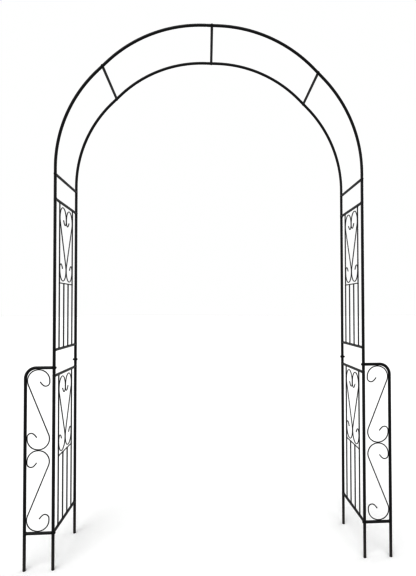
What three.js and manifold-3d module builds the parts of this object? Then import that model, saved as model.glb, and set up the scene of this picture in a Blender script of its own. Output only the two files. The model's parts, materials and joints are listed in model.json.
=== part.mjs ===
// Garden arch of steel tube: two hoops on four posts, scrolled side panels between the posts and a
// scrolled wing beside each front post.  Millimetres, +Z up, origin on the ground under the middle.
// X runs across the walkway and the front is at -Y.
import * as THREE from 'three';
import { mergeVertices } from 'three/addons/utils/BufferGeometryUtils.js';
import Module from 'manifold-3d';

// Places of the main pieces
const POST_SPAN = 1370; // between post centres across the walkway
const POST_DEPTH = 360; // between front and back post centres
const SPRING_HEIGHT = 1713; // where the hoops are bolted to the upper posts
const JOINT_HEIGHT = 867; // where the upper posts are bolted to the lower ones
const WING_WIDTH = 120; // from a front post's centre to its wing's outer leg
const LOWEST_RUNG_HEIGHT = 158; // of the bottom rungs, on lower panels and wings alike
const LOWER_TOP_DROP = 36; // lower panel's top rung, below the post joint
const UPPER_BOTTOM_RISE = 76; // upper panel's bottom rung, above the post joint
const UPPER_TOP_DROP = 108; // upper panel's top rung, below the hoop's bolts
const HOOP_TUBES = 4; // bent tubes in one hoop

// Sections
const TUBE_DIAMETER = 12; // posts, hoops and wings
const TUBE_WALL = 1;
const RUNG_DIAMETER = 11; // panel rungs and cross bars
const RUNG_WALL = 1;
const BAR_DIAMETER = 5; // upright bars of a panel
const CROSSPIECE_DIAMETER = 4.4;
const WIRE_DIAMETER = 3.8; // scrolls
const PLUG_DEPTH = 12; // of the plug that closes a foot

// Joints
const SPIGOT_LENGTH = 50; // swaged end of a tube, inside the next one
const SWAGE_TAPER = 2;
const BEND_CLEARANCE = 2.1; // straight tube left between a swage and a hoop tube's bend
const BOLT_DIAMETER = 5;
const BOLT_HEAD_DIAMETER = 10;
const BOLT_HEAD_HEIGHT = 3.2;
const BOLT_GRIP = 12; // thread of a bolt inside a tapped end
const THREAD_ROOM = 6; // tapped past the bolt's end
const NUT_WIDTH = 8.5; // across the corners
const NUT_HEIGHT = 4;
const BOLT_TIP = 2; // bolt showing past its nut

// Panels and scrolls
const BAR_COUNT = 4; // upright bars, spread evenly between the posts
const CROSSPIECE_DROP = 366; // below a panel's top rung
const SCROLL_HEADROOM = 17; // from a panel's top rung to the highest wire centre
const SCROLL_LIFT = 11; // from the crosspiece to the lowest wire centre
const WING_BEND_RADIUS = 45;
const WING_SCROLL_ROOM = 9.7; // from a front post to its wing's scrolls
const RISE_SHARE = 0.15; // straight wire between a scroll's big turn and its hook, to that turn's radius
const HOOK_SHARE = 0.36; // radius of its hook to that of its big turn
const TAIL_SHARE = 1.2; // radius of its nearly straight tail to that of its big turn
const HOOK_DEGREES = 130;
const TAIL_DEGREES = 20;

// Clearances, and fineness of the facets
const GAP = 0.3; // between pieces that touch
const WELD_SINK = 0.4; // how far welded wires run into each other
const TUBE_SIDES = 12;
const WIRE_SIDES = 6;
const BOLT_SIDES = 8;
const TUBE_STEP = 9; // degrees of bend for each step
const WIRE_STEP = 18;
const HOOK_STEP = 26;

// Worked out from the sizes above
const TUBE_RADIUS = TUBE_DIAMETER / 2;
const RUNG_RADIUS = RUNG_DIAMETER / 2;
const BAR_RADIUS = BAR_DIAMETER / 2;
const WIRE_RADIUS = WIRE_DIAMETER / 2;
const BOLT_RADIUS = BOLT_DIAMETER / 2;
const BOLT_HEAD_RADIUS = BOLT_HEAD_DIAMETER / 2;
const BORE_RADIUS = BOLT_RADIUS + GAP;
const FITTING_RADIUS = Math.max(BOLT_HEAD_RADIUS, TUBE_RADIUS); // widest piece bolted to a post
const SPIGOT_RADIUS = TUBE_RADIUS - TUBE_WALL - GAP;
const HALF_SPAN = POST_SPAN / 2;
const HALF_DEPTH = POST_DEPTH / 2;
const TAPPED_DEPTH = BOLT_GRIP + THREAD_ROOM;
const SEAM_OFFSET = SPIGOT_LENGTH / 2; // from a joint's bolt to the seam before it
const SEAM_HEIGHT = JOINT_HEIGHT - SEAM_OFFSET;
const HOOP_STRAIGHT = SEAM_OFFSET + SWAGE_TAPER + GAP + BEND_CLEARANCE; // each side of a hoop's bolt
const HOOP_DEGREES = 180 / HOOP_TUBES;
const RADIANS = Math.PI / 180;
const SIDES = [['left', -1], ['right', 1]];
const FACES = [['front', -1], ['back', 1]];

const wasm = await Module();
wasm.setup();

const coat = (color, roughness) =>
  () => new THREE.MeshStandardMaterial({ color, roughness, metalness: 0.4 });
const tubeCoat = coat(0x17181a, 0.5);
const wireCoat = coat(0x121314, 0.55);
const boltCoat = coat(0x1f2022, 0.4);

const arch = new THREE.Group();

function place(name, geometry, material, position, turn = 0) {
  const mesh = new THREE.Mesh(geometry, material());
  mesh.name = name;
  mesh.position.set(...position);
  mesh.rotation.z = turn;
  arch.add(mesh);
}

// A path in the XZ plane, laid in straight runs and bends as a tube bender lays it.  A bend by a
// positive angle turns from +X towards +Z.
class Route {
  constructor(x, z, headingDegrees) {
    this.stations = [{ x, z, heading: headingDegrees * RADIANS, s: 0 }];
  }

  get length() {
    return this.stations.at(-1).s;
  }

  step(chord, turn, length) {
    const { x, z, heading, s } = this.stations.at(-1);
    const along = heading + turn / 2;
    this.stations.push({
      x: x + chord * Math.cos(along),
      z: z + chord * Math.sin(along),
      heading: heading + turn,
      s: s + length,
    });
  }

  straight(length) {
    this.step(length, 0, length);
    return this;
  }

  bend(radius, degrees, stepDegrees) {
    const steps = Math.ceil(Math.abs(degrees) / stepDegrees);
    const turn = (degrees * RADIANS) / steps;
    const chord = 2 * radius * Math.abs(Math.sin(turn / 2));
    for (let i = 0; i < steps; i += 1) this.step(chord, turn, radius * Math.abs(turn));
    return this;
  }

  at(distance) {
    const s = Math.min(distance, this.length);
    const next = Math.max(1, this.stations.findIndex((station) => station.s >= s));
    const [a, b] = [this.stations[next - 1], this.stations[next]];
    const mix = (key) => a[key] + ((b[key] - a[key]) * (s - a.s)) / (b.s - a.s);
    return { x: mix('x'), z: mix('z'), heading: mix('heading') };
  }

  // The same path turned and moved so that its middle is the origin, with the heading given there
  centred(headingDegrees) {
    const middle = this.at(this.length / 2);
    const turn = headingDegrees * RADIANS - middle.heading;
    const route = new Route(0, 0, 0);
    route.stations = this.stations.map((station) => {
      const [x, z] = [station.x - middle.x, station.z - middle.z];
      return {
        x: x * Math.cos(turn) - z * Math.sin(turn),
        z: x * Math.sin(turn) + z * Math.cos(turn),
        heading: station.heading + turn,
        s: station.s,
      };
    });
    return route;
  }
}

// A turned piece along +Y, its outline given as radius and distance, with corners in line with X
const turned = (outline, sides) =>
  new THREE.LatheGeometry(outline.map(([r, s]) => new THREE.Vector2(r, s)), sides, Math.PI / 2);

// Bends a turned piece that starts at the origin so that it lies along a route
function bendAlong(geometry, route) {
  const position = geometry.getAttribute('position');
  for (let i = 0; i < position.count; i += 1) {
    const { x, z, heading } = route.at(position.getY(i));
    const side = position.getX(i);
    const y = position.getZ(i);
    position.setXYZ(i, x - side * Math.sin(heading), y, z + side * Math.cos(heading));
  }
  return geometry;
}

// Adds a point to an outline at each station that it passes, so that it can bend there
function withStations(outline, stations) {
  const points = [outline[0]];
  for (const [r1, s1] of outline.slice(1)) {
    const [r0, s0] = points.at(-1);
    const passed = stations.filter((s) => (s - s0) * (s1 - s) > 1);
    if (s1 < s0) passed.reverse();
    for (const s of passed) points.push([r0 + ((r1 - r0) * (s - s0)) / (s1 - s0), s]);
    points.push([r1, s1]);
  }
  return points;
}

// A tube along a route.  Its start may be open, plugged as a foot, or tapped for a bolt, and its end
// open, tapped, or swaged down to a spigot.
function tube(route, { start = 'open', end = 'open', radius = TUBE_RADIUS, wall = TUBE_WALL } = {}) {
  const { length } = route;
  const bore = radius - wall;
  const outer = [];
  const inner = [];
  if (start === 'plugged') {
    outer.push([0, 0], [radius, 0]);
    inner.push([0, PLUG_DEPTH], [bore, PLUG_DEPTH]);
  } else {
    outer.push([radius, 0]);
    if (start === 'tapped') inner.push([BORE_RADIUS, 0], [BORE_RADIUS, TAPPED_DEPTH]);
    inner.push([bore, start === 'tapped' ? TAPPED_DEPTH : 0]);
  }
  if (end === 'swaged') {
    const taperEnd = length - SPIGOT_LENGTH - GAP;
    const taperStart = taperEnd - SWAGE_TAPER;
    outer.push([radius, taperStart], [SPIGOT_RADIUS, taperEnd], [SPIGOT_RADIUS, length]);
    inner.push([bore, taperStart], [SPIGOT_RADIUS - wall, taperEnd], [SPIGOT_RADIUS - wall, length]);
  } else {
    outer.push([radius, length]);
    inner.push([bore, end === 'tapped' ? length - TAPPED_DEPTH : length]);
    if (end === 'tapped') inner.push([BORE_RADIUS, length - TAPPED_DEPTH], [BORE_RADIUS, length]);
  }
  const stations = route.stations.map((station) => station.s);
  const outline = [...withStations(outer, stations), ...withStations(inner.reverse(), stations)];
  if (start !== 'plugged') outline.push(outline[0]);
  return bendAlong(turned(outline, TUBE_SIDES), route);
}

// A round rod or wire along a route
function rod(route, radius) {
  const side = route.stations.map((station) => [radius, station.s]);
  return bendAlong(turned([[0, 0], ...side, [0, route.length]], WIRE_SIDES), route);
}

// A closed geometry as a solid for joining and cutting
function solid(geometry) {
  const points = new THREE.BufferGeometry();
  points.setAttribute('position', geometry.getAttribute('position'));
  points.setIndex(geometry.getIndex());
  const merged = mergeVertices(points, 1e-3);
  const index = merged.getIndex().array;
  const kept = [];
  for (let i = 0; i < index.length; i += 3) {
    const [a, b, c] = index.subarray(i, i + 3);
    if (a !== b && b !== c && c !== a) kept.push(a, b, c);
  }
  return new wasm.Manifold(new wasm.Mesh({
    numProp: 3,
    vertProperties: new Float32Array(merged.getAttribute('position').array),
    triVerts: new Uint32Array(kept),
  }));
}

function geometryOf(body) {
  const { vertProperties, triVerts } = body.getMesh();
  const geometry = new THREE.BufferGeometry();
  geometry.setAttribute('position', new THREE.BufferAttribute(vertProperties, 3));
  geometry.setIndex(new THREE.BufferAttribute(triVerts, 1));
  geometry.computeVertexNormals();
  return geometry;
}

// A closed geometry mirrored across an axis, with its faces turned to point out again
function mirrored(geometry, axis) {
  const copy = geometry.clone().scale(axis === 'x' ? -1 : 1, 1, axis === 'z' ? -1 : 1);
  const index = copy.getIndex().array;
  for (let i = 0; i < index.length; i += 3) [index[i], index[i + 1]] = [index[i + 1], index[i]];
  return copy;
}

// A round cutter with its middle at a point, along X, Y or Z
function cutter([x, y, z], axis, length, radius, sides) {
  const ends = [-length / 2, length / 2];
  const made = turned([[0, ends[0]], [radius, ends[0]], [radius, ends[1]], [0, ends[1]]], sides);
  if (axis === 'x') made.rotateZ(-Math.PI / 2);
  if (axis === 'z') made.rotateX(Math.PI / 2);
  return solid(made.translate(x, y, z));
}

// Bolt holes right through a tube along one axis, at points of its centre line
function drilled(geometry, points, axis) {
  let body = solid(geometry);
  for (const point of points) {
    body = body.subtract(cutter(point, axis, 2 * TUBE_DIAMETER, BORE_RADIUS, BOLT_SIDES));
  }
  return geometryOf(body);
}

const upright = (length) => new Route(0, 0, 90).straight(length);

function lowerPost(face) {
  const made = tube(upright(SEAM_HEIGHT + SPIGOT_LENGTH), { start: 'plugged', end: 'swaged' });
  const holes = [[0, 0, JOINT_HEIGHT]];
  if (face === 'front') holes.push([0, 0, LOWEST_RUNG_HEIGHT]);
  return drilled(made, holes, 'x');
}

// The left posts end in spigots inside the hoops, and the right posts take the hoops' spigots
function upperPost(side) {
  const past = side === 'left' ? SPIGOT_LENGTH - SEAM_OFFSET : SEAM_OFFSET;
  const springAt = SPRING_HEIGHT - SEAM_HEIGHT;
  const made = tube(upright(springAt + past), { end: side === 'left' ? 'swaged' : 'open' });
  const withJointHole = drilled(made, [[0, 0, SEAM_OFFSET]], 'x');
  return drilled(withJointHole, [[0, 0, springAt]], 'y');
}

function addPosts() {
  for (const [side, sideSign] of SIDES) {
    for (const [face, faceSign] of FACES) {
      const [x, y] = [sideSign * HALF_SPAN, faceSign * HALF_DEPTH];
      place(`lower_post_${side}_${face}`, lowerPost(face), tubeCoat, [x, y, 0]);
      place(`upper_post_${side}_${face}`, upperPost(side), tubeCoat, [x, y, SEAM_HEIGHT]);
    }
  }
}

// A rung along Y between two posts, its ends shaped to sit against them and clear of their bolts and
// of what is bolted to them
function panelRung() {
  const reach = HALF_DEPTH - BORE_RADIUS - GAP;
  const route = new Route(-reach, 0, 0).straight(2 * reach);
  const made = tube(route, { radius: RUNG_RADIUS, wall: RUNG_WALL }).rotateZ(Math.PI / 2);
  let body = solid(made);
  for (const y of [-HALF_DEPTH, HALF_DEPTH]) {
    const room = cutter([0, y, 0], 'z', 2 * RUNG_DIAMETER, TUBE_RADIUS + GAP, TUBE_SIDES);
    body = body.subtract(room);
    for (const side of [-1, 1]) {
      const x = side * (TUBE_RADIUS + RUNG_RADIUS);
      body = body.subtract(cutter([x, y, 0], 'x', RUNG_DIAMETER, FITTING_RADIUS + GAP, TUBE_SIDES));
    }
  }
  return geometryOf(body);
}

// One S scroll centred on the origin: two big turns joined by the straight run that touches both and
// rises to +X, each ending in a hook and a wide tail
function scroll(height, loopRadius) {
  const lean = Math.asin(loopRadius / (height / 2 - loopRadius)) / RADIANS;
  const run = (2 * loopRadius) / Math.tan(lean * RADIANS);
  const [rise, hook, tail] = [RISE_SHARE, HOOK_SHARE, TAIL_SHARE].map((share) => loopRadius * share);
  const route = new Route(0, 0, 0);
  route.bend(tail, -TAIL_DEGREES, HOOK_STEP).bend(hook, -HOOK_DEGREES, HOOK_STEP).straight(rise);
  route.bend(loopRadius, -180, WIRE_STEP).bend(loopRadius, -lean, WIRE_STEP);
  route.straight(run);
  route.bend(loopRadius, lean, WIRE_STEP).bend(loopRadius, 180, WIRE_STEP);
  route.straight(rise).bend(hook, HOOK_DEGREES, HOOK_STEP).bend(tail, TAIL_DEGREES, HOOK_STEP);
  return rod(route.centred(90 - lean), WIRE_RADIUS);
}

// A panel's filling is made in the XZ plane, X across the depth and its top rung at z = 0
const BAR_SPACING = POST_DEPTH / (BAR_COUNT + 1);
const OUTER_BAR = (BAR_SPACING * (BAR_COUNT - 1)) / 2;

function panelBars(height) {
  const bottom = -height + RUNG_RADIUS + GAP;
  const width = 2 * OUTER_BAR + BAR_RADIUS;
  const crosspiece = new Route(-width / 2, -CROSSPIECE_DROP, 0).straight(width);
  let body = solid(rod(crosspiece, CROSSPIECE_DIAMETER / 2));
  for (let i = 0; i < BAR_COUNT; i += 1) {
    const isOuter = i === 0 || i === BAR_COUNT - 1;
    const top = isOuter ? -RUNG_RADIUS - GAP : -CROSSPIECE_DROP;
    const bar = new Route(i * BAR_SPACING - OUTER_BAR, bottom, 90).straight(top - bottom);
    body = body.add(solid(rod(bar, BAR_RADIUS)));
  }
  return geometryOf(body);
}

function panelHeart() {
  const outerWire = OUTER_BAR - BAR_RADIUS - GAP - WIRE_RADIUS;
  const innerWire = WIRE_RADIUS - WELD_SINK / 2;
  const height = CROSSPIECE_DROP - SCROLL_HEADROOM - SCROLL_LIFT;
  const half = scroll(height, (outerWire - innerWire) / 2);
  half.translate((outerWire + innerWire) / 2, 0, -SCROLL_HEADROOM - height / 2);
  return geometryOf(solid(half).add(solid(mirrored(half, 'x'))));
}

function addPanels() {
  const levels = [
    ['lower', LOWEST_RUNG_HEIGHT, JOINT_HEIGHT - LOWER_TOP_DROP],
    ['upper', JOINT_HEIGHT + UPPER_BOTTOM_RISE, SPRING_HEIGHT - UPPER_TOP_DROP],
  ];
  const acrossDepth = Math.PI / 2;
  for (const [side, sideSign] of SIDES) {
    const x = sideSign * HALF_SPAN;
    for (const [level, bottom, top] of levels) {
      const name = `${level}_panel_${side}`;
      place(`${name}_top_rung`, panelRung(), tubeCoat, [x, 0, top]);
      place(`${name}_bottom_rung`, panelRung(), tubeCoat, [x, 0, bottom]);
      place(`${name}_bars`, panelBars(top - bottom), wireCoat, [x, 0, top], acrossDepth);
      place(`${name}_heart_scrolls`, panelHeart(), wireCoat, [x, 0, top], acrossDepth);
    }
  }
}

// A hoop joint's bolt: joint 0 is on the left posts, and the last is on the right ones
function hoopJoint(index) {
  const angle = (180 - index * HOOP_DEGREES) * RADIANS;
  return [HALF_SPAN * Math.cos(angle), 0, SPRING_HEIGHT + HALF_SPAN * Math.sin(angle)];
}

// A hoop's tube starts open, round the spigot of the tube or post before it, and ends in its own
// spigot past the next joint
function hoopTube(index) {
  const [x, , z] = hoopJoint(index);
  const headingDegrees = 90 - index * HOOP_DEGREES;
  const heading = headingDegrees * RADIANS;
  const start = [x - SEAM_OFFSET * Math.cos(heading), z - SEAM_OFFSET * Math.sin(heading)];
  const bendRadius = HALF_SPAN - HOOP_STRAIGHT / Math.tan((HOOP_DEGREES / 2) * RADIANS);
  const route = new Route(...start, headingDegrees).straight(SEAM_OFFSET + HOOP_STRAIGHT);
  route.bend(bendRadius, -HOOP_DEGREES, TUBE_STEP);
  route.straight(HOOP_STRAIGHT + SPIGOT_LENGTH - SEAM_OFFSET);
  const made = tube(route, { end: 'swaged' });
  return drilled(made, [hoopJoint(index), hoopJoint(index + 1)], 'y');
}

// A bar along +Y between the hoops, tapped at both ends
function crossBar() {
  const length = POST_DEPTH - TUBE_DIAMETER - 2 * GAP;
  const route = new Route(-length / 2, 0, 0).straight(length);
  const sizes = { start: 'tapped', end: 'tapped', radius: RUNG_RADIUS, wall: RUNG_WALL };
  return tube(route, sizes).rotateZ(Math.PI / 2);
}

// A bolt along +Y with the underside of its domed head at the origin
function bolt(length) {
  const head = BOLT_HEAD_HEIGHT;
  return turned([
    [0, -head],
    [BOLT_HEAD_RADIUS * 0.6, -head],
    [BOLT_HEAD_RADIUS, -head * 0.4],
    [BOLT_HEAD_RADIUS, 0],
    [BOLT_RADIUS, 0],
    [BOLT_RADIUS, length],
    [0, length],
  ], BOLT_SIDES);
}

const THROUGH_TUBE = TUBE_DIAMETER + 2 * GAP;
const HEAD_SEAT = TUBE_RADIUS + GAP; // from a tube's centre line to the underside of a head

function addHoops() {
  for (const [face, faceSign] of FACES) {
    const turn = faceSign < 0 ? 0 : Math.PI;
    for (let i = 0; i < HOOP_TUBES; i += 1) {
      place(`hoop_tube_${face}_${i + 1}`, hoopTube(i), tubeCoat, [0, faceSign * HALF_DEPTH, 0]);
    }
    for (let i = 0; i <= HOOP_TUBES; i += 1) {
      const [x, , z] = hoopJoint(i);
      const seat = [x, faceSign * (HALF_DEPTH + HEAD_SEAT), z];
      place(`hoop_bolt_${face}_${i + 1}`, bolt(THROUGH_TUBE + BOLT_GRIP), boltCoat, seat, turn);
    }
  }
  for (let i = 0; i <= HOOP_TUBES; i += 1) {
    place(`cross_bar_${i + 1}`, crossBar(), tubeCoat, hoopJoint(i));
  }
}

// A wing is made with its post's centre at x = 0 and its outer leg at +X
function wingFrame() {
  const postFace = TUBE_RADIUS + GAP;
  const legTop = JOINT_HEIGHT - WING_BEND_RADIUS;
  const outline = new Route(WING_WIDTH, 0, 90).straight(legTop);
  outline.bend(WING_BEND_RADIUS, 90, 2 * TUBE_STEP);
  outline.straight(WING_WIDTH - WING_BEND_RADIUS - postFace);
  const rungRoute = new Route(WING_WIDTH, LOWEST_RUNG_HEIGHT, 180).straight(WING_WIDTH - postFace);
  const bore = TUBE_RADIUS - TUBE_WALL;
  const legBore = cutter(
    [WING_WIDTH, 0, LOWEST_RUNG_HEIGHT], 'z', 2 * TUBE_DIAMETER, bore, TUBE_SIDES);
  const rung = solid(tube(rungRoute, { end: 'tapped' })).subtract(legBore);
  return geometryOf(solid(tube(outline, { start: 'plugged', end: 'tapped' })).add(rung));
}

function wingScrolls() {
  const reach = TUBE_RADIUS + GAP + WIRE_RADIUS;
  const innerWire = TUBE_RADIUS + WING_SCROLL_ROOM + WIRE_RADIUS;
  const loopRadius = (WING_WIDTH - reach - innerWire) / 2;
  const [bottom, top] = [LOWEST_RUNG_HEIGHT + reach, JOINT_HEIGHT - reach];
  const middle = (bottom + top) / 2;
  const height = top - middle - (WIRE_RADIUS - WELD_SINK / 2);
  const upper = scroll(height, loopRadius);
  const lower = mirrored(upper, 'z');
  const x = WING_WIDTH - reach - loopRadius;
  upper.translate(x, 0, top - height / 2);
  lower.translate(x, 0, bottom + height / 2);
  return geometryOf(solid(upper).add(solid(lower)));
}

// Each wing is bolted through its front post from inside the walkway
function addWings() {
  const y = -HALF_DEPTH;
  for (const [side, sideSign] of SIDES) {
    const turn = sideSign < 0 ? Math.PI : 0;
    const outward = turn - Math.PI / 2;
    const seat = sideSign * (HALF_SPAN - HEAD_SEAT);
    const wingBolt = bolt(THROUGH_TUBE + BOLT_GRIP);
    place(`wing_frame_${side}`, wingFrame(), tubeCoat, [sideSign * HALF_SPAN, y, 0], turn);
    place(`wing_scrolls_${side}`, wingScrolls(), wireCoat, [sideSign * HALF_SPAN, y, 0], turn);
    place(`wing_top_bolt_${side}`, wingBolt, boltCoat, [seat, y, JOINT_HEIGHT], outward);
    place(`wing_rung_bolt_${side}`, wingBolt, boltCoat, [seat, y, LOWEST_RUNG_HEIGHT], outward);
  }
}

// A nut along +Y from its seat
function nut() {
  const sides = 6;
  const [bore, corner] = [BORE_RADIUS / Math.cos(Math.PI / sides), NUT_WIDTH / 2];
  const outline = [[corner, 0], [corner, NUT_HEIGHT], [bore, NUT_HEIGHT], [bore, 0], [corner, 0]];
  return turned(outline, sides);
}

function addPostBolts() {
  for (const [side, sideSign] of SIDES) {
    const outward = (-sideSign * Math.PI) / 2;
    const at = (offset) => [sideSign * (HALF_SPAN + offset), HALF_DEPTH, JOINT_HEIGHT];
    const length = THROUGH_TUBE + NUT_HEIGHT + BOLT_TIP;
    place(`post_bolt_${side}`, bolt(length), boltCoat, at(-HEAD_SEAT), outward);
    place(`post_nut_${side}`, nut(), boltCoat, at(HEAD_SEAT), outward);
  }
}

addPosts();
addPanels();
addHoops();
addWings();
addPostBolts();

export default arch;
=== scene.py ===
"""Looks of the garden arch: coated tubes, wire scrolls, weld beads, bolts and foot plugs.

Lengths are in metres and angles in radians.  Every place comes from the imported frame, and the finer
sizes that only the looks need are the fields of the classes below.
"""
from __future__ import annotations

import json
import logging
import math
from collections.abc import Callable, Iterable, Iterator, Sequence
from dataclasses import dataclass, field, replace
from enum import Enum
from functools import partial

import bmesh
import bpy
from mathutils import Euler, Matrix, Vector, noise

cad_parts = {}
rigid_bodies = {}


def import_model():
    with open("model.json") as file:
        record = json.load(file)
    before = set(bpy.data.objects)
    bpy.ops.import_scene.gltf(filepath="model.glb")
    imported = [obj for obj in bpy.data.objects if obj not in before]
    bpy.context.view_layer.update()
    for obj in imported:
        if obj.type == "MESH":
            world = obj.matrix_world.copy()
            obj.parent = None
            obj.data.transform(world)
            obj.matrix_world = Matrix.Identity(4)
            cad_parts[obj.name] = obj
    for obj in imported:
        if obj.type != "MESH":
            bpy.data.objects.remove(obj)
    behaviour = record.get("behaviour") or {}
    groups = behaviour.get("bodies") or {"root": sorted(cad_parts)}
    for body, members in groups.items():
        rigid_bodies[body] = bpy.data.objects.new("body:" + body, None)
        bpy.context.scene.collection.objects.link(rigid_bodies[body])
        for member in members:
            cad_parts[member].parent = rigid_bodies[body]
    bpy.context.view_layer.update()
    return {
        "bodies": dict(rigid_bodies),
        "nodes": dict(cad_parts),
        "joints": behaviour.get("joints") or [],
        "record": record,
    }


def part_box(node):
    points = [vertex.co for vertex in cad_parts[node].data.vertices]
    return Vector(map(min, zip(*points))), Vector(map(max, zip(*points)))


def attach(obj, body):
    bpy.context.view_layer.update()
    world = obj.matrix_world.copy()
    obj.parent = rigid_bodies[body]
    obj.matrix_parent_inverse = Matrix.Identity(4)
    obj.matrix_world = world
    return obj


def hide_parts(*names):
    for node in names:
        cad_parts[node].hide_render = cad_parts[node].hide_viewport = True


LOG = logging.getLogger("garden_arch")

BODY = "root"
WEAR = "edge_wear"
TINY = 1e-9
GAP = 0.0003  # room between neighbouring pieces
FOOT_SEAM = 0.0001  # room between a foot plug's flange and its tube
RING_ROOM = 0.00001  # least room between two rings of a swept piece
ROD_SIDES = 6  # sides of the CAD's rods, whose boxes measure across their flats
TUBE_SIDES = 32
WIRE_SIDES = 18
BOLT_SIDES = 36
TUBE_BEND_STEP = math.radians(1.5)
WIRE_BEND_STEP = math.radians(5)
SHARP_ANGLE = math.radians(40)
X_AXIS = Vector((1, 0, 0))
Y_AXIS = Vector((0, 1, 0))
Z_AXIS = Vector((0, 0, 1))

Colour = tuple[float, float, float]
Range = tuple[float, float]
Socket = bpy.types.NodeSocket
Carving = Callable[[float, float], float]

MIDDLE: Range = (0.3, 0.7)  # where most of a noise's values lie


class Place(Enum):
    """A part of the arch that stands in the names of pieces."""

    @property
    def label(self) -> str:
        """The word for it in those names."""
        return self.name.lower()


class Side(Place):
    """A side of the walkway, seen from the front."""

    LEFT = -1
    RIGHT = 1


class Face(Place):
    """The front or the back of the arch."""

    FRONT = -1
    BACK = 1


class Level(Place):
    """The lower or the upper side panels."""

    LOWER = 0
    UPPER = 1


class TubeEnd(Enum):
    """How a tube ends."""

    OPEN = "cut square, its burr taken off"
    SWAGED = "pressed down to a spigot"
    TAPPED = "plugged with a threaded insert"


class Slot(Enum):
    """The material slots of the record."""

    TUBE = "tube_coat"
    WIRE = "wire_coat"
    FASTENER = "fastener"
    PLUG = "foot_plug"


def angles(count: int) -> Iterator[float]:
    """The angles of evenly spaced directions, once round."""
    return (2 * math.pi * i / count for i in range(count))


# Finishes


@dataclass(frozen=True)
class Grain:
    """A noise: lumps to the metre, octaves of finer lumps and how strong each finer octave is."""

    scale: float
    detail: float
    roughness: float = 0.5


@dataclass(frozen=True)
class Patches:
    """Patches made of a noise: what the start and the end of a stretch of its values become."""

    grain: Grain
    share: Range = (0, 1)
    over: Range = MIDDLE


class Shading:
    """The shader nodes of one material, added and linked in a few words."""

    def __init__(self, name: str) -> None:
        """Starts an empty material.

        Args:
            name: the material's name.
        """
        self.material = bpy.data.materials.new(name)
        self.material.use_nodes = True
        self.tree = self.material.node_tree
        self.shader = self.tree.nodes["Principled BSDF"]
        self.place = self.tree.nodes.new("ShaderNodeTexCoord").outputs["Object"]

    def add(self, kind: str, **settings: object) -> bpy.types.Node:
        """Adds a node and sets its properties.

        Args:
            kind: the node's type name.
            **settings: properties of the node by name.

        Returns:
            The new node.
        """
        node = self.tree.nodes.new(kind)
        for key, value in settings.items():
            setattr(node, key, value)
        return node

    def link(self, source: Socket, target: Socket | str) -> None:
        """Links a socket to another one, or to one of the shader's own by its name."""
        self.tree.links.new(source, self.shader.inputs[target] if isinstance(target, str) else target)

    def noise(self, grain: Grain) -> Socket:
        """Adds a noise in the piece's own space.

        Args:
            grain: the noise's sizes.

        Returns:
            The noise's value, centred on a half.
        """
        node = self.add("ShaderNodeTexNoise")
        node.inputs["Scale"].default_value = grain.scale
        node.inputs["Detail"].default_value = grain.detail
        node.inputs["Roughness"].default_value = grain.roughness
        self.link(self.place, node.inputs["Vector"])
        return node.outputs["Fac"]

    def worn_edges(self) -> Socket:
        """Reads how worn each point of a piece is."""
        return self.add("ShaderNodeAttribute", attribute_name=WEAR).outputs["Fac"]

    def height(self) -> Socket:
        """Reads the height above the ground.

        Returns:
            The height's socket.
        """
        node = self.add("ShaderNodeSeparateXYZ")
        self.link(self.place, node.inputs["Vector"])
        return node.outputs["Z"]

    def spread(self, value: Socket, result: Range, over: Range = MIDDLE) -> Socket:
        """Maps a value's useful range to another range.

        Args:
            value: the value to map.
            result: what the start and the end of the range become.
            over: the value's start and end.

        Returns:
            The mapped value.
        """
        node = self.add("ShaderNodeMapRange")
        self.link(value, node.inputs["Value"])
        node.inputs["From Min"].default_value, node.inputs["From Max"].default_value = over
        node.inputs["To Min"].default_value, node.inputs["To Max"].default_value = result
        return node.outputs["Result"]

    def patches(self, patches: Patches) -> Socket:
        """Adds a noise and maps it to the share of each patch."""
        return self.spread(self.noise(patches.grain), patches.share, patches.over)

    def product(self, first: Socket, second: Socket) -> Socket:
        """Multiplies two values.

        Args:
            first: one of them.
            second: the other one.

        Returns:
            The product's socket.
        """
        node = self.add("ShaderNodeMath", operation="MULTIPLY")
        self.link(first, node.inputs[0])
        self.link(second, node.inputs[1])
        return node.outputs["Value"]

    def blend(self, share: Socket, first: Colour | Socket, second: Colour) -> Socket:
        """Mixes two colours.

        Args:
            share: how much of the second colour shows.
            first: a colour, or the socket of one.
            second: the other colour.

        Returns:
            The mixed colour.
        """
        node = self.add("ShaderNodeMix", data_type="RGBA")
        factor = next(socket for socket in node.inputs if socket.identifier == "Factor_Float")
        a, b = (socket for socket in node.inputs if socket.type == "RGBA")
        self.link(share, factor)
        if isinstance(first, Socket):
            self.link(first, a)
        else:
            a.default_value = (*first, 1)
        b.default_value = (*second, 1)
        return next(socket for socket in node.outputs if socket.type == "RGBA")

    def bump(self, layers: Iterable[tuple[Socket, float]]) -> None:
        """Stacks bumps on the shader's normal.

        Args:
            layers: a height socket and its depth for each bump.
        """
        normal = None
        for height, depth in layers:
            node = self.add("ShaderNodeBump")
            node.inputs["Strength"].default_value = 1
            node.inputs["Distance"].default_value = depth
            self.link(height, node.inputs["Height"])
            if normal is not None:
                self.link(normal, node.inputs["Normal"])
            normal = node.outputs["Normal"]
        self.link(normal, "Normal")


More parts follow.
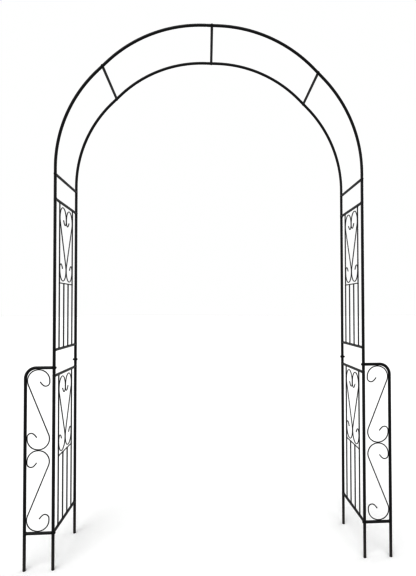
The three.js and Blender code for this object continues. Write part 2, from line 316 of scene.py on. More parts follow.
@dataclass(frozen=True)
class PowderCoat:
    """Satin black powder coat on steel: fine orange peel, slow changes of gloss, thinner on edges.

    The lowest stretch turns lighter and warmer in patches towards the ground.
    """

    name: str
    deep: Colour = (0.018, 0.0185, 0.0195)
    light: Colour = (0.027, 0.0275, 0.0285)
    clouds: Patches = Patches(Grain(9, 3))
    thin: Colour = (0.05, 0.05, 0.051)
    thin_patches: Patches = Patches(Grain(430, 4, 0.6), (0.35, 1), (0.42, 0.6))
    # a lighter, warmer tint laid in patches over the lowest stretch, towards the ground
    dust: Colour = (0.088, 0.084, 0.078)
    dust_share: float = 0.9
    dust_heights: Range = (0.03, 0.17)
    low_tint_patches: Patches = Patches(Grain(190, 4, 0.6), (0.3, 1), (0.35, 0.65))
    roughness: Range = (0.24, 0.38)
    gloss: float = 0.4
    wave: Grain = Grain(75, 2)
    wave_depth: float = 0.00016
    peel: Grain = Grain(620, 2)
    peel_depth: float = 0.00004

    def material(self) -> bpy.types.Material:
        """Builds the coat.

        Returns:
            The finished material.
        """
        made = Shading(self.name)
        wave = made.noise(self.wave)
        colour = made.blend(made.patches(self.clouds), self.deep, self.light)
        thinned = made.product(made.worn_edges(), made.patches(self.thin_patches))
        colour = made.blend(thinned, colour, self.thin)
        # lighter, warmer patches over the lowest stretch, stronger towards the ground
        low = made.spread(made.height(), (self.dust_share, 0), self.dust_heights)
        low_tinted = made.product(low, made.patches(self.low_tint_patches))
        made.link(made.blend(low_tinted, colour, self.dust), "Base Color")
        made.link(made.spread(wave, self.roughness), "Roughness")
        made.shader.inputs["Specular IOR Level"].default_value = self.gloss
        made.bump([(wave, self.wave_depth), (made.noise(self.peel), self.peel_depth)])
        return made.material


@dataclass(frozen=True)
class BlackedSteel:
    """Black oxide on turned steel, brighter where a tool or a thread has rubbed it."""

    name: str
    dark: Colour = (0.016, 0.016, 0.017)
    cloudy: Colour = (0.03, 0.029, 0.028)
    cloud: Grain = Grain(240, 3)
    rubbed: Colour = (0.11, 0.105, 0.1)
    rubbed_share: Range = (0.2, 1)
    metallic: float = 0.55
    roughness: Range = (0.28, 0.46)
    speck: Grain = Grain(1100, 4, 0.6)
    speck_depth: float = 0.00003

    def material(self) -> bpy.types.Material:
        """Builds the finish.

        Returns:
            The finished material.
        """
        made = Shading(self.name)
        speck, cloud = made.noise(self.speck), made.noise(self.cloud)
        colour = made.blend(made.spread(cloud, (0, 1)), self.dark, self.cloudy)
        rubbing = made.product(made.worn_edges(), made.spread(speck, self.rubbed_share))
        made.link(made.blend(rubbing, colour, self.rubbed), "Base Color")
        made.shader.inputs["Metallic"].default_value = self.metallic
        made.link(made.spread(cloud, self.roughness), "Roughness")
        made.bump([(speck, self.speck_depth)])
        return made.material


@dataclass(frozen=True)
class MouldedPlastic:
    """Black polyethylene with the fine grain of its mould, scuffed where it stands on the ground."""

    name: str
    body: Colour = (0.011, 0.011, 0.0115)
    scuffed: Colour = (0.06, 0.057, 0.052)
    scuff_share: float = 0.5
    scuff_height: float = 0.007
    scuffs: Patches = Patches(Grain(260, 5, 0.7), over=(0.46, 0.64))
    roughness: Range = (0.5, 0.66)
    gloss: float = 0.3
    grain: Grain = Grain(1500, 3)
    grain_depth: float = 0.00005

    def material(self) -> bpy.types.Material:
        """Builds the plastic.

        Returns:
            The finished material.
        """
        made = Shading(self.name)
        grain = made.noise(self.grain)
        low = made.spread(made.height(), (self.scuff_share, 0), (0, self.scuff_height))
        scuffed = made.product(low, made.patches(self.scuffs))
        made.link(made.blend(scuffed, self.body, self.scuffed), "Base Color")
        made.link(made.spread(grain, self.roughness), "Roughness")
        made.shader.inputs["Specular IOR Level"].default_value = self.gloss
        made.bump([(grain, self.grain_depth)])
        return made.material


@dataclass(frozen=True)
class WhitePaper:
    """The matt white paper of the studio floor."""

    name: str
    bright: Colour = (0.62, 0.62, 0.62)
    dull: Colour = (0.61, 0.61, 0.61)
    clouds: Patches = Patches(Grain(1.5, 2))
    roughness: float = 0.95
    gloss: float = 0.05

    def material(self) -> bpy.types.Material:
        """Builds the paper.

        Returns:
            The finished material.
        """
        made = Shading(self.name)
        made.link(made.blend(made.patches(self.clouds), self.bright, self.dull), "Base Color")
        made.shader.inputs["Roughness"].default_value = self.roughness
        made.shader.inputs["Specular IOR Level"].default_value = self.gloss
        return made.material


@dataclass(frozen=True)
class Finishes:
    """The materials of the arch's pieces."""

    tube: bpy.types.Material
    wire: bpy.types.Material
    weld: bpy.types.Material
    fastener: bpy.types.Material
    plug: bpy.types.Material

    @classmethod
    def mixed(cls) -> Finishes:
        """Builds all of them.

        Returns:
            The finished materials.
        """
        return cls(
            tube=PowderCoat("tube_coat").material(),
            wire=PowderCoat("wire_coat", wave=Grain(160, 2), wave_depth=0.0001).material(),
            weld=PowderCoat("weld_coat", wave=Grain(420, 2), wave_depth=0.0003, gloss=0.35).material(),
            fastener=BlackedSteel("blacked_steel").material(),
            plug=MouldedPlastic("moulded_foot_plug").material(),
        )


# Routes and skins


@dataclass(frozen=True)
class Stop:
    """A place along a route: its point in the route's plane, its heading and its distance."""

    x: float
    z: float
    heading: float
    distance: float


class Route:
    """A centre line laid in a plane in straight runs and bends, as a tube bender lays it."""

    def __init__(self, x: float = 0, z: float = 0, heading: float = 0) -> None:
        """Starts the line at a point of the plane, with a heading that turns from x towards z."""
        self.stops = [Stop(x, z, heading, 0)]

    @property
    def length(self) -> float:
        """The whole line's length."""
        return self.stops[-1].distance

    def _step(self, chord: float, turn: float, length: float) -> None:
        """Adds a stop.

        Args:
            chord: its distance from the last stop, as the crow flies.
            turn: how far the heading turns on the way.
            length: its distance along the line.
        """
        last = self.stops[-1]
        along = last.heading + turn / 2
        x = last.x + chord * math.cos(along)
        z = last.z + chord * math.sin(along)
        self.stops.append(Stop(x, z, last.heading + turn, last.distance + length))

    def straight(self, length: float) -> Route:
        """Lays a straight run and returns the route."""
        self._step(length, 0, length)
        return self

    def bend(self, radius: float, angle: float, step: float = WIRE_BEND_STEP) -> Route:
        """Lays a bend.

        Args:
            radius: the bend's radius.
            angle: how far it turns, positive from x towards z.
            step: largest turn between two stops.

        Returns:
            The route itself.
        """
        steps = math.ceil(abs(angle) / step - TINY)
        turn = angle / steps
        for _ in range(steps):
            self._step(2 * radius * abs(math.sin(turn / 2)), turn, radius * abs(turn))
        return self

    def at(self, distance: float) -> Stop:
        """Finds a place along the line.

        Args:
            distance: how far along it is.

        Returns:
            The place, as a stop.
        """
        wanted = min(max(distance, 0), self.length)
        after = next(i for i, stop in enumerate(self.stops) if stop.distance >= wanted - TINY)
        a, b = self.stops[max(after, 1) - 1], self.stops[max(after, 1)]
        share = (wanted - a.distance) / (b.distance - a.distance)
        x = a.x + (b.x - a.x) * share
        z = a.z + (b.z - a.z) * share
        return Stop(x, z, a.heading + (b.heading - a.heading) * share, wanted)

    def centred(self, heading: float) -> Route:
        """Turns and moves the line so that its middle is the origin.

        Args:
            heading: the heading wanted at the middle.

        Returns:
            The new line.
        """
        middle = self.at(self.length / 2)
        turn = heading - middle.heading
        moved = Route()
        moved.stops = []
        for stop in self.stops:
            x, z = stop.x - middle.x, stop.z - middle.z
            turned_x = x * math.cos(turn) - z * math.sin(turn)
            turned_z = x * math.sin(turn) + z * math.cos(turn)
            moved.stops.append(Stop(turned_x, turned_z, stop.heading + turn, stop.distance))
        return moved


def upright(low: float, high: float) -> Route:
    """A straight line up from one height to another."""
    return Route(0, low, math.pi / 2).straight(high - low)


@dataclass(frozen=True)
class Plane:
    """The plane that a route is laid in, by its origin and the directions of x and z."""

    origin: Vector
    x_way: Vector = field(default_factory=X_AXIS.copy)
    z_way: Vector = field(default_factory=Z_AXIS.copy)

    @property
    def normal(self) -> Vector:
        """The direction square to the plane."""
        return self.x_way.cross(self.z_way)

    def point(self, x: float, z: float) -> Vector:
        """The point at a pair of coordinates in the plane."""
        return self.origin + x * self.x_way + z * self.z_way

    def left_of(self, stop: Stop) -> Vector:
        """The direction in the plane square to a stop's heading."""
        return math.cos(stop.heading) * self.z_way - math.sin(stop.heading) * self.x_way


@dataclass(frozen=True)
class Ring:
    """One ring of a swept piece: round, or trimmed by a hexagon with that corner radius."""

    radius: float
    distance: float
    worn: float = 0
    hexagon: float = math.inf

    def reach(self, angle: float) -> float:
        """Measures the ring from the line.

        Args:
            angle: the direction round the line.

        Returns:
            How far the ring reaches there.
        """
        if math.isinf(self.hexagon):
            return self.radius
        side = math.pi / 3
        flat = self.hexagon * math.cos(side / 2) / math.cos(angle % side - side / 2)
        return min(self.radius, flat)

    def towards(self, other: Ring, distance: float) -> Ring:
        """Makes a ring between this one and another.

        Args:
            other: the other ring.
            distance: where the new one is along the line.

        Returns:
            The new ring.
        """
        share = (distance - self.distance) / (other.distance - self.distance)
        radius = self.radius + (other.radius - self.radius) * share
        return Ring(radius, distance, self.worn + (other.worn - self.worn) * share, self.hexagon)


def mirrored(rings: Sequence[Ring], length: float) -> list[Ring]:
    """The rings of one end of a piece, turned round for its other end."""
    return [replace(ring, distance=length - ring.distance) for ring in reversed(rings)]


def with_stops(outline: Sequence[Ring], route: Route) -> list[Ring]:
    """Adds a ring at each of a route's stops that an outline passes, so that it can bend there.

    Args:
        outline: the rings of a swept piece.
        route: the line it is laid along.

    Returns:
        The outline with the added rings.
    """
    stops = [stop.distance for stop in route.stops]
    rings = [outline[0]]
    for ring in outline[1:]:
        last = rings[-1]
        low, high = sorted((last.distance, ring.distance))
        passed = [stop for stop in stops if low + RING_ROOM < stop < high - RING_ROOM]
        if ring.distance < last.distance:
            passed.reverse()
        rings.extend(last.towards(ring, stop) for stop in passed)
        rings.append(ring)
    return rings


class Piece:
    """One visible piece, gathered as closed skins and then made into an object."""

    def __init__(self) -> None:
        """Starts an empty piece."""
        self.points: list[Vector] = []
        self.worn: list[float] = []
        self.faces: list[tuple[int, ...]] = []

    def skin(self, loops: Sequence[Sequence[Vector]], closes: bool, worn: Sequence[float] = ()) -> None:
        """Adds a skin over loops of points.

        Args:
            loops: loops of equally many points, where a loop of one point is a pole.
            closes: whether the last loop joins the first one.
            worn: how worn each loop is, or nothing for a skin that isn't.
        """
        starts = []
        for i, loop in enumerate(loops):
            starts.append(len(self.points))
            self.points.extend(loop)
            self.worn.extend([worn[i] if worn else 0] * len(loop))
        pairs = list(zip(range(len(loops)), range(1, len(loops))))
        if closes:
            pairs.append((len(loops) - 1, 0))
        for a, b in pairs:
            self._band(starts[a], len(loops[a]), starts[b], len(loops[b]))

    def _band(self, a: int, a_size: int, b: int, b_size: int) -> None:
        """Adds the faces between two loops, given by their first points and sizes.

        Args:
            a: the first loop's first point.
            a_size: how many points it has, one for a pole.
            b: the second loop's first point.
            b_size: how many points that has.
        """
        count = max(a_size, b_size)
        for i in range(count):
            j = (i + 1) % count
            corners = a + i % a_size, a + j % a_size, b + j % b_size, b + i % b_size
            self.faces.append(tuple(dict.fromkeys(corners)))

    def sweep(
        self,
        route: Route,
        plane: Plane,
        outline: Sequence[Ring],
        sides: int,
        carving: Carving | None = None,
    ) -> None:
        """Adds a turned outline laid along a route.

        Args:
            route: the centre line.
            plane: the plane that it is laid in.
            outline: the rings, which start and end on the line or go round a wall.
            sides: points round each ring.
            carving: depth cut away at a distance along the line and an angle round it.
        """
        rings = with_stops(outline, route)
        loops = []
        for ring in rings:
            stop = route.at(ring.distance)
            centre, left = plane.point(stop.x, stop.z), plane.left_of(stop)
            if ring.radius < TINY:
                loops.append([centre])
                continue
            loop = []
            for angle in angles(sides):
                reach = ring.reach(angle) - (carving(ring.distance, angle) if carving else 0)
                loop.append(centre + reach * (math.cos(angle) * left + math.sin(angle) * plane.normal))
            loops.append(loop)
        self.skin(loops, outline[0].radius > TINY, [ring.worn for ring in rings])

    def rod(self, route: Route, plane: Plane, radius: float, bevel: float = 0.0004) -> None:
        """Adds a solid rod along a route, the edges of its cut ends broken.

        Args:
            route: the centre line.
            plane: the plane that it is laid in.
            radius: the rod's radius.
            bevel: width of the broken edges.
        """
        unworn = Ring(radius, 4 * bevel)
        near = [Ring(0, 0), Ring(radius - bevel, 0, 1), Ring(radius, bevel, 1), unworn]
        self.sweep(route, plane, near + mirrored(near, route.length), WIRE_SIDES)

    def coped_tube(self, middle: Vector, along: Vector, across: Vector, cope: Coping) -> None:
        """Adds a straight tube whose ends are shaped to fit round two posts.

        Args:
            middle: the tube's middle.
            along: its direction.
            across: the posts' direction.
            cope: its sizes.
        """
        sideways = along.cross(across)
        loops = []
        for radius, end in ((cope.radius, -1), (cope.radius, 1), (cope.bore, 1), (cope.bore, -1)):
            loop = []
            for angle in angles(TUBE_SIDES):
                up, aside = radius * math.cos(angle), radius * math.sin(angle)
                reach = cope.half_span - math.sqrt(cope.post**2 - aside**2)
                loop.append(middle + end * reach * along + up * across + aside * sideways)
            loops.append(loop)
        self.skin(loops, closes=True)

    def bead(self, root: Vector, away: Vector, along: Vector, bead: Bead) -> None:
        """Adds the weld bead round the foot of a rod that stands on a tube.

        Args:
            root: where their centre lines meet.
            away: the rod's direction from there.
            along: the tube's direction.
            bead: its sizes.
        """
        sideways = away.cross(along)
        loops = []
        for turn in angles(bead.steps):
            radial = math.cos(turn) * along + math.sin(turn) * sideways
            aside = min(bead.rod * abs(math.sin(turn)), bead.tube)
            centre = root + bead.rod * radial + math.sqrt(bead.tube**2 - aside**2) * away
            lump = 1 + bead.uneven * noise.noise(centre * bead.lumps)
            ripple = 1 + bead.ripple_height * (abs(math.sin(bead.ripples * turn / 2)) - 0.5)
            thick = bead.thickness * lump * ripple
            loop = []
            for angle in angles(bead.section_sides):
                loop.append(centre + thick * (math.cos(angle) * radial + math.sin(angle) * away))
            loops.append(loop)
        self.skin(loops, closes=True)

    def tack(self, centre: Vector, along: Vector, across: Vector, tack: Tack) -> None:
        """Adds the short weld that joins a wire to what it touches.

        Args:
            centre: where they touch.
            along: the wire's direction there.
            across: from the wire towards the other piece.
            tack: its sizes.
        """
        normal = along.cross(across)
        loops = []
        for i in range(tack.rows + 1):
            polar = math.pi * i / tack.rows
            middle = centre - tack.length * math.cos(polar) * along
            if i in (0, tack.rows):
                loops.append([middle])
                continue
            loop = []
            for angle in angles(tack.sides):
                way = tack.width * math.cos(angle) * across + tack.thickness * math.sin(angle) * normal
                point = middle + math.sin(polar) ** tack.taper * way
                loop.append(point + tack.uneven * noise.noise(point * tack.lumps) * way)
            loops.append(loop)
        self.skin(loops, closes=False)

    def finished(self, name: str, material: bpy.types.Material, slot: Slot, *nodes: str) -> None:
        """Makes the object, dresses it, and lets it ride on the frame and stand for CAD nodes.

        Args:
            name: the piece's name.
            material: its finish.
            slot: the record's slot for that finish; not used.
            *nodes: the CAD nodes that it stands for.
        """
        mesh = bpy.data.meshes.new(name)
        mesh.from_pydata(self.points, [], self.faces)
        mesh.attributes.new(WEAR, "FLOAT", "POINT").data.foreach_set("value", self.worn)
        shape = bmesh.new()
        shape.from_mesh(mesh)
        bmesh.ops.recalc_face_normals(shape, faces=shape.faces)
        for polygon in shape.faces:
            polygon.smooth = True
        shape.to_mesh(mesh)
        shape.free()
        mesh.set_sharp_from_angle(angle=SHARP_ANGLE)
        mesh.materials.append(material)
        piece = bpy.data.objects.new(name, mesh)
        bpy.context.scene.collection.objects.link(piece)
        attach(piece, BODY)
        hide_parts(*nodes)
        LOG.info("%s: %d points, %d faces", name, len(self.points), len(self.faces))


@dataclass(frozen=True)
class Coping:
    """Sizes of a tube that fits between two posts."""

    radius: float
    bore: float
    half_span: float
    post: float


@dataclass(frozen=True)
class Bead:
    """Sizes of the weld bead round a rod that stands on a tube.

    The lumps are counted to the metre, and their height and the ripples' are shares of its thickness.
    """

    rod: float
    tube: float
    thickness: float
    ripples: int = 20
    ripple_height: float = 0.2
    lumps: float = 260
    uneven: float = 0.35
    steps: int = 80
    section_sides: int = 10


@dataclass(frozen=True)
class Tack:
    """Sizes of a tack weld: half its length and width, and how far it stands out at each face.

    A smaller taper makes its ends blunter.
    """

    length: float = 0.0042
    width: float = 0.0024
    thickness: float = 0.0022
    taper: float = 0.7
    lumps: float = 320
    uneven: float = 0.3
    rows: int = 12
    sides: int = 16


SLIM_TACK = Tack(width=0.0021)


@dataclass(frozen=True)
class TubeStock:
    """Round tube of one size, and the sizes of its worked ends."""

    radius: float
    wall: float = 0.001
    burr: float = 0.00025
    wear_width: float = 0.001
    spigot: float = 0.05
    taper: float = 0.002
    taper_steps: int = 6
    taper_wear: float = 0.5
    insert_bore: float = 0.0028
    insert_depth: float = 0.018

    @property
    def bore(self) -> float:
        """Radius inside the tube."""
        return self.radius - self.wall

    def _swaged_end(self, length: float) -> tuple[list[Ring], list[Ring]]:
        """The rings of a spigot that slides into the same tube.

        Args:
            length: the tube's length.

        Returns:
            The rings of its surface and those of its bore.
        """
        outer, inner = [], []
        for i in range(self.taper_steps + 1):
            share = i / self.taper_steps
            drop = (self.wall + GAP) * (1 - math.cos(math.pi * share)) / 2
            distance = length - self.spigot - GAP - self.taper * (1 - share)
            outer.append(Ring(self.radius - drop, distance, self.taper_wear * math.sin(math.pi * share)))
            inner.append(Ring(self.bore - drop, distance))
        tip = self.bore - GAP
        outer += [Ring(tip, length - self.burr), Ring(tip - self.burr, length)]
        inner.append(Ring(tip - self.wall, length))
        return outer, inner

    def outline(
        self, length: float, start: TubeEnd = TubeEnd.OPEN, end: TubeEnd = TubeEnd.OPEN
    ) -> list[Ring]:
        """The tube's wall as rings, out along its surface and back along its bore.

        Args:
            length: the tube's length.
            start: how it starts, which isn't swaged.
            end: how it ends.

        Returns:
            The rings.
        """
        rim = [
            Ring(self.radius - self.burr, 0, 1),
            Ring(self.radius, self.burr, 1),
            Ring(self.radius, self.wear_width),
        ]
        insert = [Ring(self.insert_bore, 0), Ring(self.insert_bore, self.insert_depth)]
        bores = {
            TubeEnd.OPEN: [Ring(self.bore, 0)],
            TubeEnd.TAPPED: [*insert, Ring(self.bore, self.insert_depth)],
        }
        if end is TubeEnd.SWAGED:
            outer, inner = self._swaged_end(length)
        else:
            outer, inner = mirrored(rim, length), mirrored(bores[end], length)
        return [*rim, *outer, *reversed(inner), *reversed(bores[start])]


@dataclass(frozen=True)
class Scroll:
    """Sizes of an S scroll: two big turns, the straight run that touches both, and their hooks.

    A hook is a short rise, a tight turn and a flat tail, sized by the big turns' radius.
    """

    height: float
    loop_radius: float
    rise: float = 0.15
    hook: float = 0.36
    hook_turn: float = math.radians(130)
    tail: float = 1.2
    tail_turn: float = math.radians(20)

    def route(self) -> Route:
        """Lays the scroll's centre line.

        Returns:
            The line, with its middle at the origin and its straight run rising towards x.
        """
        loop = self.loop_radius
        rise, hook, tail = self.rise * loop, self.hook * loop, self.tail * loop
        lean = math.asin(loop / (self.height / 2 - loop))
        line = Route()
        line.bend(tail, -self.tail_turn).bend(hook, -self.hook_turn).straight(rise)
        line.bend(loop, -math.pi).bend(loop, -lean)
        line.straight(2 * loop / math.tan(lean))
        line.bend(loop, lean).bend(loop, math.pi)
        line.straight(rise).bend(hook, self.hook_turn).bend(tail, self.tail_turn)
        return line.centred(math.pi / 2 - lean)


# The arch


def middle(node: str) -> Vector:
    """The middle of a CAD node's box."""
    low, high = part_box(node)
    return (low + high) / 2


def extent(node: str) -> Vector:
    """The size of a CAD node's box."""
    low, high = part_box(node)
    return high - low


@dataclass(frozen=True)
class Layout:
    """Where the arch's pieces stand and how thick they are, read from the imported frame."""

    half_span: float
    half_depth: float
    spring: float
    joint: float
    seam: float
    tube: float
    rung: float
    bar: float
    wire: float
    wing: float
    joints: int

    @classmethod
    def read(cls, nodes: Iterable[str]) -> Layout:
        """Reads the layout.

        Args:
            nodes: the names of the CAD nodes.

        Returns:
            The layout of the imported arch.
        """
        post = middle("upper_post_right_back")
        tube = extent("upper_post_right_back").x / 2
        across_flats = math.cos(math.pi / ROD_SIDES)
        return cls(
            half_span=post.x,
            half_depth=post.y,
            spring=middle("cross_bar_1").z,
            joint=middle("post_bolt_right").z,
            seam=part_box("upper_post_right_back")[0].z,
            tube=tube,
            rung=extent("cross_bar_1").z / 2,
            bar=extent("lower_panel_left_bars").x / 2 / across_flats,
            wire=extent("lower_panel_left_heart_scrolls").x / 2 / across_flats,
            wing=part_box("wing_frame_right")[1].x - tube - post.x,
            joints=sum(name.startswith("cross_bar_") for name in nodes),
        )

    def post(self, side: Side, face: Face) -> Vector:
        """The point of the ground under a post's centre."""
        return Vector((side.value * self.half_span, face.value * self.half_depth, 0))

    def hoop_joint(self, index: int) -> Vector:
        """Where a hoop is bolted, in the middle of the depth, counted from the left posts."""
        angle = math.pi * (1 - index / (self.joints - 1))
        return Vector((math.cos(angle), 0, math.sin(angle))) * self.half_span + self.spring * Z_AXIS


@dataclass
class SubAssembly:
    """What every sub-assembly is built from: the arch's layout and its finishes."""

    layout: Layout
    finishes: Finishes

    @property
    def stock(self) -> TubeStock:
        """The tube of the posts, the hoops and the wings."""
        return TubeStock(self.layout.tube)

    def tube(self, name: str, route: Route, plane: Plane, outline: Sequence[Ring], *nodes: str) -> None:
        """Builds one coated tube.

        Args:
            name: the piece's name.
            route: its centre line.
            plane: the plane that it is laid in.
            outline: its wall, as rings.
            *nodes: the CAD nodes that it stands for.
        """
        piece = Piece()
        piece.sweep(route, plane, outline, TUBE_SIDES)
        piece.finished(name, self.finishes.tube, Slot.TUBE, *nodes)


@dataclass
class FootPlug(SubAssembly):
    """The plastic plug pressed into the foot of a tube, with its flange flush with the tube."""

    flange: float = 0.0018
    edge: float = 0.0008
    edge_steps: int = 5
    depth: float = 0.012
    wall: float = 0.0011
    fins: int = 3
    fin_place: float = 0.6
    fin_height: float = 0.0004
    fin_width: float = 0.0005
    slack: float = 0.00004

    def build(self, name: str, foot: Vector) -> None:
        """Builds one plug.

        Args:
            name: the piece's name.
            foot: the point of the ground under its centre.
        """
        flange = self.layout.tube
        fin = self.stock.bore - self.slack
        neck = fin - self.fin_height
        hollow, floor = neck - self.wall, 2 * self.flange
        rings = [Ring(0, 0), Ring(flange - 2 * self.edge, 0, 1)]
        for i in range(self.edge_steps + 1):
            share = i / self.edge_steps
            turn = math.pi / 2 * share
            radius = flange - self.edge * (1 - math.sin(turn))
            rings.append(Ring(radius, self.edge * (1 - math.cos(turn)), 1 - share))
        rings += [Ring(flange, self.flange), Ring(neck, self.flange)]
        for i in range(self.fins):
            low = self.flange + (self.depth - self.flange) * (i + self.fin_place) / self.fins
            rings += [Ring(neck, low - self.fin_width), Ring(fin, low), Ring(neck, low + self.fin_width)]
        rings += [Ring(neck, self.depth), Ring(hollow, self.depth), Ring(hollow, floor), Ring(0, floor)]
        plug = Piece()
        plug.sweep(upright(0, self.depth), Plane(foot), rings, TUBE_SIDES)
        plug.finished(name, self.finishes.plug, Slot.PLUG)


@dataclass
class Posts(SubAssembly):
    """The four posts, each a lower and an upper tube, and the lower ones' foot plugs."""

    tube_start: float = FootPlug.flange + FOOT_SEAM

    def build(self) -> None:
        """Builds every post and its plug."""
        plugs = FootPlug(self.layout, self.finishes)
        for side in Side:
            for face in Face:
                label, foot = f"{side.label}_{face.label}", self.layout.post(side, face)
                self._lower(f"lower_post_{label}", foot)
                self._upper(f"upper_post_{label}", side, foot)
                plugs.build(f"post_foot_plug_{label}", foot)

    def _lower(self, name: str, foot: Vector) -> None:
        """Builds a lower tube over a point of the ground, its spigot standing in the upper one."""
        route = upright(self.tube_start, self.layout.seam + self.stock.spigot)
        self.tube(name, route, Plane(foot), self.stock.outline(route.length, end=TubeEnd.SWAGED), name)

    def _upper(self, name: str, side: Side, foot: Vector) -> None:
        """Builds an upper tube, which ends in a spigot on the left and open on the right.

        Args:
            name: the piece's name.
            side: the side it stands on.
            foot: the point of the ground under its centre.
        """
        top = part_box(name)[1].z
        route = upright(self.layout.seam, top)
        end = TubeEnd.SWAGED if side is Side.LEFT else TubeEnd.OPEN
        self.tube(name, route, Plane(foot), self.stock.outline(route.length, end=end), name)


@dataclass
class Hoops(SubAssembly):
    """The two hoops of bent tubes and the cross bars between them."""

    bend_clearance: float = 0.0021

    def build(self) -> None:
        """Builds every tube and cross bar."""
        for face in Face:
            for index in range(self.layout.joints - 1):
                self._bent_tube(f"hoop_tube_{face.label}_{index + 1}", face, index)
        for index in range(self.layout.joints):
            self._cross_bar(f"cross_bar_{index + 1}")

    def _bent_tube(self, name: str, face: Face, index: int) -> None:
        """Builds one bent tube, from before its first joint to its spigot past the next one.

        Args:
            name: the piece's name.
            face: the hoop it belongs to.
            index: its first joint.
        """
        lap = self.layout.joint - self.layout.seam
        straight = lap + self.stock.taper + GAP + self.bend_clearance
        turn = math.pi / (self.layout.joints - 1)
        heading = math.pi / 2 - index * turn
        joint = self.layout.hoop_joint(index)
        start = joint.x - lap * math.cos(heading), joint.z - lap * math.sin(heading)
        route = Route(*start, heading).straight(lap + straight)
        route.bend(self.layout.half_span - straight / math.tan(turn / 2), -turn, TUBE_BEND_STEP)
        route.straight(straight + self.stock.spigot - lap)
        plane = Plane(face.value * self.layout.half_depth * Y_AXIS)
        self.tube(name, route, plane, self.stock.outline(route.length, end=TubeEnd.SWAGED), name)

    def _cross_bar(self, name: str) -> None:
        """Builds one cross bar where the CAD has it.

        Args:
            name: the piece's name.
        """
        length = extent(name).y
        route = Route(-length / 2).straight(length)
        outline = TubeStock(self.layout.rung).outline(length, TubeEnd.TAPPED, TubeEnd.TAPPED)
        self.tube(name, route, Plane(middle(name), Y_AXIS), outline, name)


@dataclass
class SidePanels(SubAssembly):
    """The welded fillings between the posts: rungs, upright bars, a crosspiece and heart scrolls.

    The heart starts the headroom below the top rung and ends the lift above the crosspiece.
    """

    bars: int = 4
    crosspiece_radius: float = 0.0022
    crosspiece_drop: float = 0.366
    headroom: float = 0.017
    lift: float = 0.011
    weld_sink: float = 0.0004
    rung_wall: float = 0.001
    rung_bead: float = 0.0017
    bar_bead: float = 0.0012

    def build(self) -> None:
        """Builds the four panels."""
        for side in Side:
            for level in Level:
                self._panel(f"{level.label}_panel_{side.label}")

    def _panel(self, name: str) -> None:
        """Builds one panel.

        Args:
            name: the start of its pieces' names.
        """
        top, bottom = middle(f"{name}_top_rung"), middle(f"{name}_bottom_rung")
        welds = Piece()
        for level, centre in (("top", top), ("bottom", bottom)):
            self._rung(f"{name}_{level}_rung", centre, welds)
        self._bars(f"{name}_bars", top, bottom, welds)
        self._heart(f"{name}_heart_scrolls", top, welds)
        welds.finished(f"{name}_welds", self.finishes.weld, Slot.WIRE)

    def _rung(self, name: str, centre: Vector, welds: Piece) -> None:
        """Builds a rung, shaped to the posts at its ends, and the beads that hold it.

        Args:
            name: the piece's name.
            centre: its middle.
            welds: the piece that gathers the panel's welds.
        """
        size = self.layout
        rung = Piece()
        cope = Coping(size.rung, size.rung - self.rung_wall, size.half_depth, size.tube + GAP)
        rung.coped_tube(centre, Y_AXIS, Z_AXIS, cope)
        rung.finished(name, self.finishes.tube, Slot.TUBE, name)
        for face in Face:
            root = centre + face.value * size.half_depth * Y_AXIS
            welds.bead(root, -face.value * Y_AXIS, Z_AXIS, Bead(size.rung, size.tube, self.rung_bead))

    @property
    def _spacing(self) -> float:
        """Distance between two bars."""
        return 2 * self.layout.half_depth / (self.bars + 1)

    @property
    def _outer(self) -> float:
        """Distance from the panel's middle to an outer bar."""
        return self._spacing * (self.bars - 1) / 2

    def _bars(self, name: str, top: Vector, bottom: Vector, welds: Piece) -> None:
        """Builds the upright bars and the crosspiece, and the beads at their ends.

        Args:
            name: the piece's name.
            top: the middle of the top rung.
            bottom: the middle of the bottom rung.
            welds: the piece that gathers the panel's welds.
        """
        size = self.layout
        reach = size.rung + GAP
        cross = top - self.crosspiece_drop * Z_AXIS
        crosspiece = Route(-self._outer).straight(2 * self._outer)
        grille = Piece()
        grille.rod(crosspiece, Plane(cross, Y_AXIS), self.crosspiece_radius)
        on_rung = Bead(size.bar, size.rung, self.bar_bead, ripples=10, steps=48)
        on_cross = replace(on_rung, tube=self.crosspiece_radius)
        on_bar = replace(on_rung, rod=self.crosspiece_radius, tube=size.bar)
        for index in range(self.bars):
            aside = (index * self._spacing - self._outer) * Y_AXIS
            outer = index in (0, self.bars - 1)
            end = top.z - reach if outer else cross.z
            foot = Vector((bottom.x, aside.y, 0))
            grille.rod(upright(bottom.z + reach, end), Plane(foot, Y_AXIS), size.bar)
            welds.bead(bottom + aside, Z_AXIS, Y_AXIS, on_rung)
            if outer:
                welds.bead(top + aside, -Z_AXIS, Y_AXIS, on_rung)
                inward = Y_AXIS if index == 0 else -Y_AXIS
                welds.bead(cross + aside, inward, Z_AXIS, on_bar)
            else:
                welds.bead(cross + aside, -Z_AXIS, Y_AXIS, on_cross)
        grille.finished(name, self.finishes.wire, Slot.WIRE, name)

    def _heart(self, name: str, top: Vector, welds: Piece) -> None:
        """Builds the two mirrored scrolls of the heart, and the tacks that hold them.

        Args:
            name: the piece's name.
            top: the middle of the top rung.
            welds: the piece that gathers the panel's welds.
        """
        size = self.layout
        outer_wire = self._outer - size.bar - GAP - size.wire
        inner_wire = size.wire - self.weld_sink / 2
        loop_radius = (outer_wire - inner_wire) / 2
        height = self.crosspiece_drop - self.headroom - self.lift
        centre = top - (self.headroom + height / 2) * Z_AXIS
        route = Scroll(height, loop_radius).route()
        heart = Piece()
        for outward in (Y_AXIS, -Y_AXIS):
            origin = centre + (outer_wire + inner_wire) / 2 * outward
            heart.rod(route, Plane(origin, outward), size.wire)
            for up in (1, -1):
                level = centre + up * (height / 2 - loop_radius) * Z_AXIS
                welds.tack(level + (outer_wire + size.wire) * outward, Z_AXIS, outward, Tack())
        for up in (1, -1):
            level = centre + up * (height / 2 - loop_radius) * Z_AXIS
            welds.tack(level, Z_AXIS, Y_AXIS, SLIM_TACK)
        heart.finished(name, self.finishes.wire, Slot.WIRE, name)


